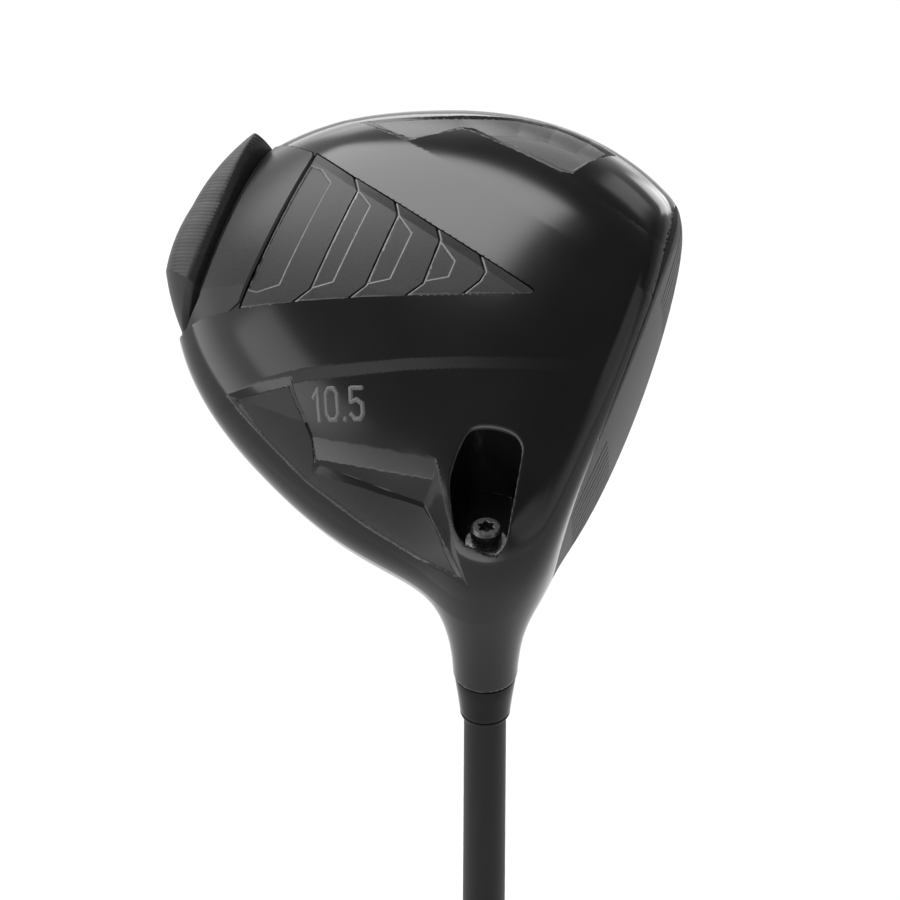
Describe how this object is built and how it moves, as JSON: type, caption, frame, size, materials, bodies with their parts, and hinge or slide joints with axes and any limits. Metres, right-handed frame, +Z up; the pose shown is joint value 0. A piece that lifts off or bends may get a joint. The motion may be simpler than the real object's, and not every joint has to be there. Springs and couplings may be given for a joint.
{
  "type": "golf driver",
  "caption": "Right-handed golf driver: hollow titanium head with sole inlays and rim weight, graphite shaft in a screw-held hosel sleeve, and a rubber grip.",
  "frame": {"origin": "centre of the grip's flat end face, on the shaft's axis", "axes": "+Z up the shaft from the grip to the head, +X the way the face points (target), -Y the way the sole points"},
  "size_m": [0.1163, 0.1098, 1.1935],
  "materials": {
    "gloss_black_metal": "high gloss black lacquer over a titanium casting",
    "gloss_black_crown": "high gloss black lacquer over a carbon fibre crown",
    "brushed_face": "satin brushed dark titanium",
    "textured_plastic": "matt moulded black with a fine grain",
    "satin_grey_metal": "satin graphite grey",
    "ribbed_dark_metal": "black anodised with machined ribs",
    "dark_steel": "blackened steel, semi-gloss",
    "bright_steel": "plain turned steel",
    "anodised_aluminium": "black anodised",
    "ferrule_plastic": "polished black",
    "shaft_graphite": "satin dark grey paint over carbon fibre",
    "tape": "matt paper tape",
    "grip_rubber": "matt moulded rubber with a raised pattern"
  },
  "bodies": {
    "shaft_assembly": {"shaft": "shaft_graphite", "adapter_sleeve": "anodised_aluminium", "sleeve_thread_insert": "bright_steel", "ferrule": "ferrule_plastic", "ferrule_ring": "ferrule_plastic", "shaft_tip_plug": "textured_plastic", "grip_tape": "tape", "grip": "grip_rubber", "grip_end_cap": "grip_rubber"},
    "head": {"head_body": "gloss_black_metal", "crown": "gloss_black_crown", "face_plate": "brushed_face", "chevron_insert": "textured_plastic", "rear_sole_panel": "gloss_black_metal", "toe_panel": "satin_grey_metal", "heel_panel": "satin_grey_metal", "rear_weight": "ribbed_dark_metal", "screw_retainer": "grip_rubber"},
    "washer": {"screw_washer": "bright_steel"},
    "screw": {"hosel_screw": "dark_steel"}
  },
  "joints": [
    {"name": "head_lift", "type": "slide", "parent": "shaft_assembly", "child": "head", "axis": [0, 0, 1], "range_m": [0, 0.036]},
    {"name": "washer_travel", "type": "slide", "parent": "head", "child": "washer", "axis": [0, 0, 1], "range_m": [0, 0.0072]},
    {"name": "screw_turn", "type": "hinge", "parent": "washer", "child": "screw", "pos_m": [0, 0, 1.145], "axis": [0, 0, 1], "range_deg": [0, 3240]}
  ],
  "couplings": [
    {"joint": "screw_turn", "follows": "washer_travel", "rad_per_m": 7854}
  ]
}
